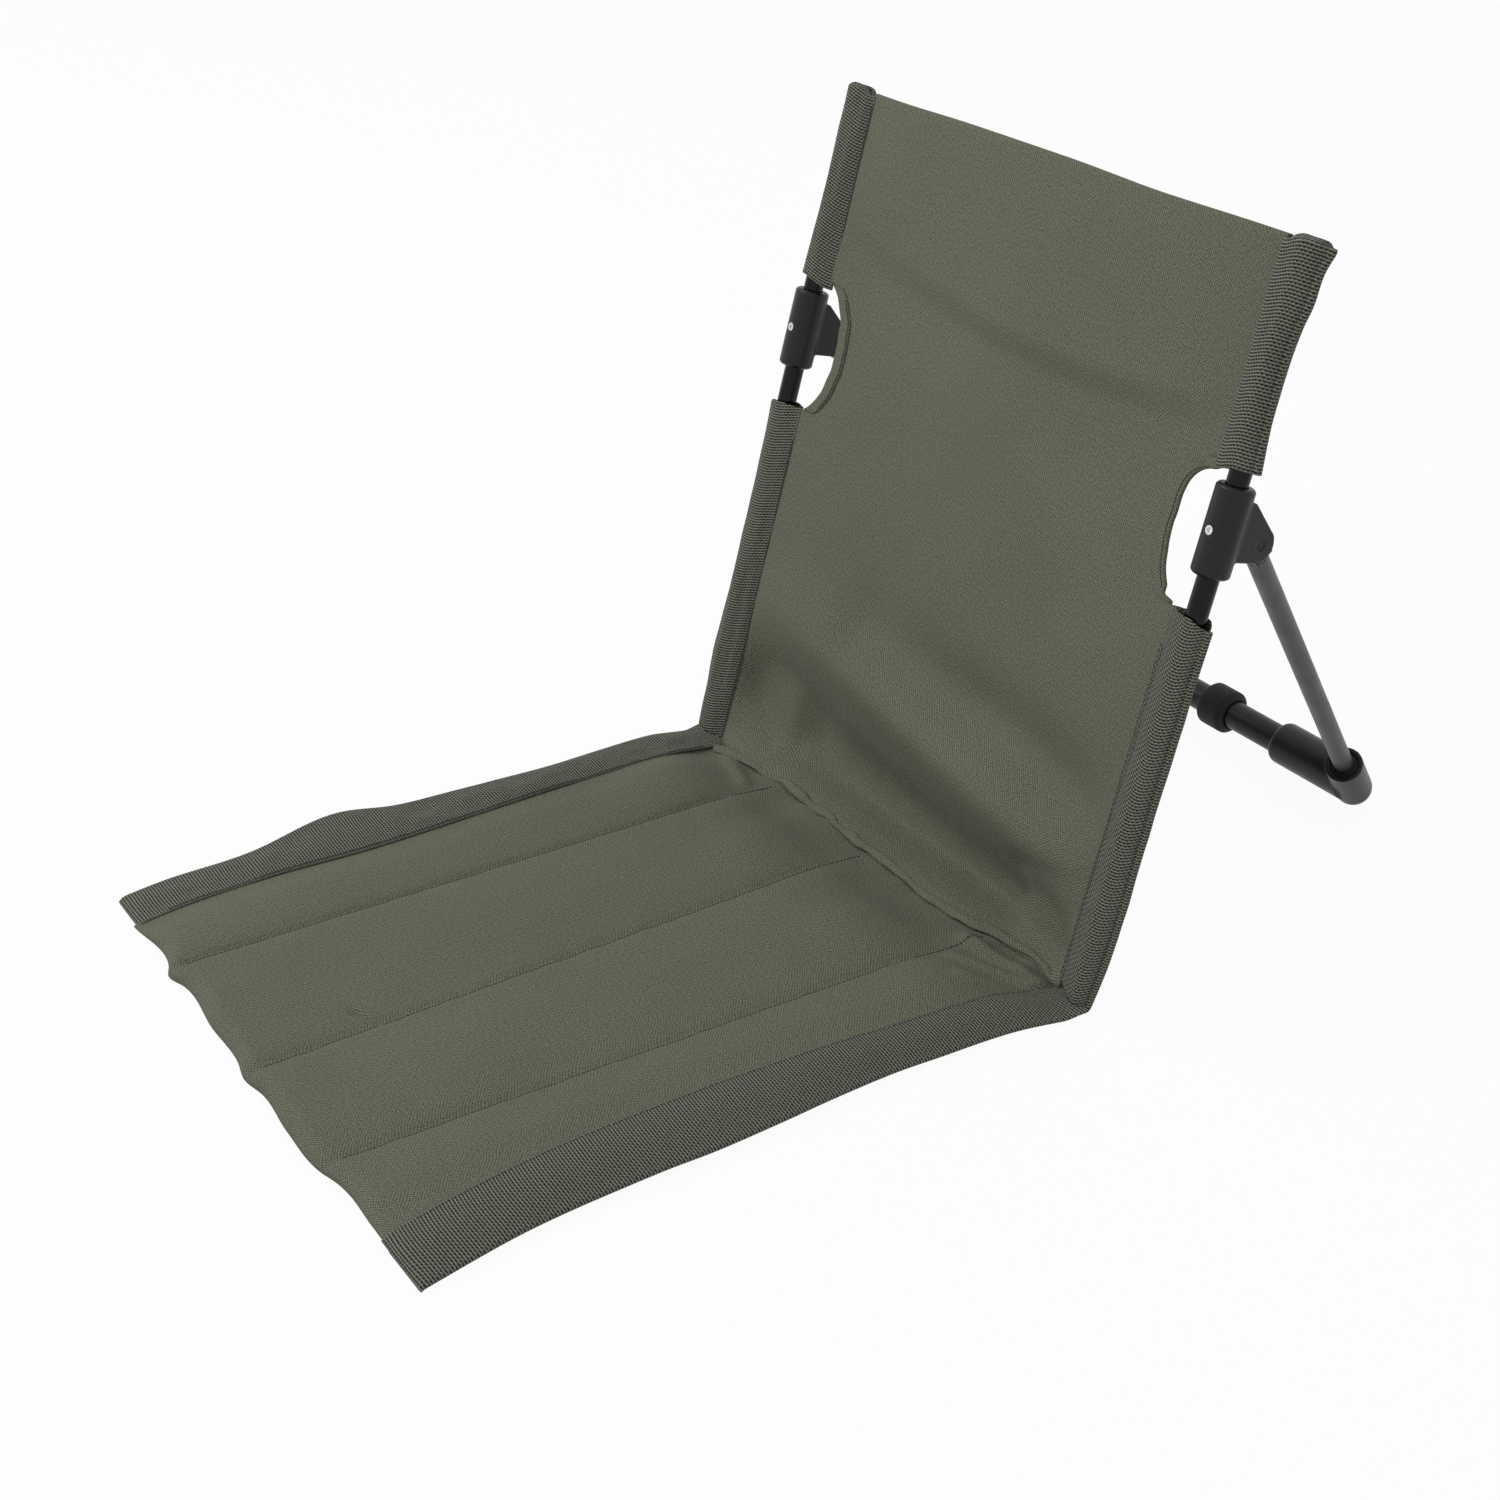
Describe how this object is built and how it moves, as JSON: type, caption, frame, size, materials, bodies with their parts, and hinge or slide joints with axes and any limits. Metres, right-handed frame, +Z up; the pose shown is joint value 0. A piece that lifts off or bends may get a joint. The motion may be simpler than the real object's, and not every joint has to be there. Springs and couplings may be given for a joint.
{
  "type": "folding beach chair",
  "caption": "Low folding beach chair with a cloth back on straight poles, a folding tubular prop behind it and a quilted seat mat that folds up at the crease.",
  "frame": {"origin": "on the floor, under the middle of the whole chair", "axes": "+Z up, +Y to the rear, where the prop stands, so the sitter faces -Y; +X to the sitter's left"},
  "size_m": [0.428, 0.7547, 0.443],
  "materials": {
    "pole_black": "gloss black paint on steel tube",
    "bar_black": "satin black paint on tube",
    "leg_grey": "grey anodised tube",
    "moulded_black": "black moulded nylon",
    "plug_black": "black moulded plug",
    "rubber_black": "black rubber",
    "screw_steel": "zinc plated",
    "cloth_olive": "olive oxford cloth",
    "webbing_olive": "olive ribbed webbing",
    "foam": "open cell foam"
  },
  "bodies": {
    "back": {"back_panel": "cloth_olive", "hub_screws": "screw_steel", "left_back_pole": "pole_black", "left_cutout_facing": "cloth_olive", "left_hub": "moulded_black", "left_lower_sleeve": "webbing_olive", "left_pole_foot_cap": "plug_black", "left_pole_top_cap": "plug_black", "left_upper_sleeve": "webbing_olive", "pivot_pins": "screw_steel", "rear_flap": "cloth_olive", "right_back_pole": "pole_black", "right_cutout_facing": "cloth_olive", "right_hub": "moulded_black", "right_lower_sleeve": "webbing_olive", "right_pole_foot_cap": "plug_black", "right_pole_top_cap": "plug_black", "right_upper_sleeve": "webbing_olive"},
    "prop": {"centre_collar": "rubber_black", "crossbar_spigot": "plug_black", "left_crossbar": "bar_black", "left_foot": "moulded_black", "left_leg_bush": "rubber_black", "left_leg_knuckle": "moulded_black", "left_prop_leg": "leg_grey", "right_crossbar": "bar_black", "right_foot": "moulded_black", "right_leg_bush": "rubber_black", "right_leg_knuckle": "moulded_black", "right_prop_leg": "leg_grey"},
    "seat": {"left_seat_band": "webbing_olive", "right_seat_band": "webbing_olive", "seat_base_cloth": "cloth_olive", "seat_foam_1": "foam", "seat_foam_2": "foam", "seat_foam_3": "foam", "seat_foam_4": "foam", "seat_top_cloth": "cloth_olive"}
  },
  "joints": [
    {"name": "prop_fold", "type": "hinge", "parent": "back", "child": "prop", "pos_m": [0, 0.1557, 0.27395], "axis": [-1, 0, 0], "range_deg": [0, 54]},
    {"name": "seat_fold", "type": "hinge", "parent": "back", "child": "seat", "pos_m": [0, 0.03065, 0.004], "axis": [-1, 0, 0], "range_deg": [0, 104]}
  ]
}
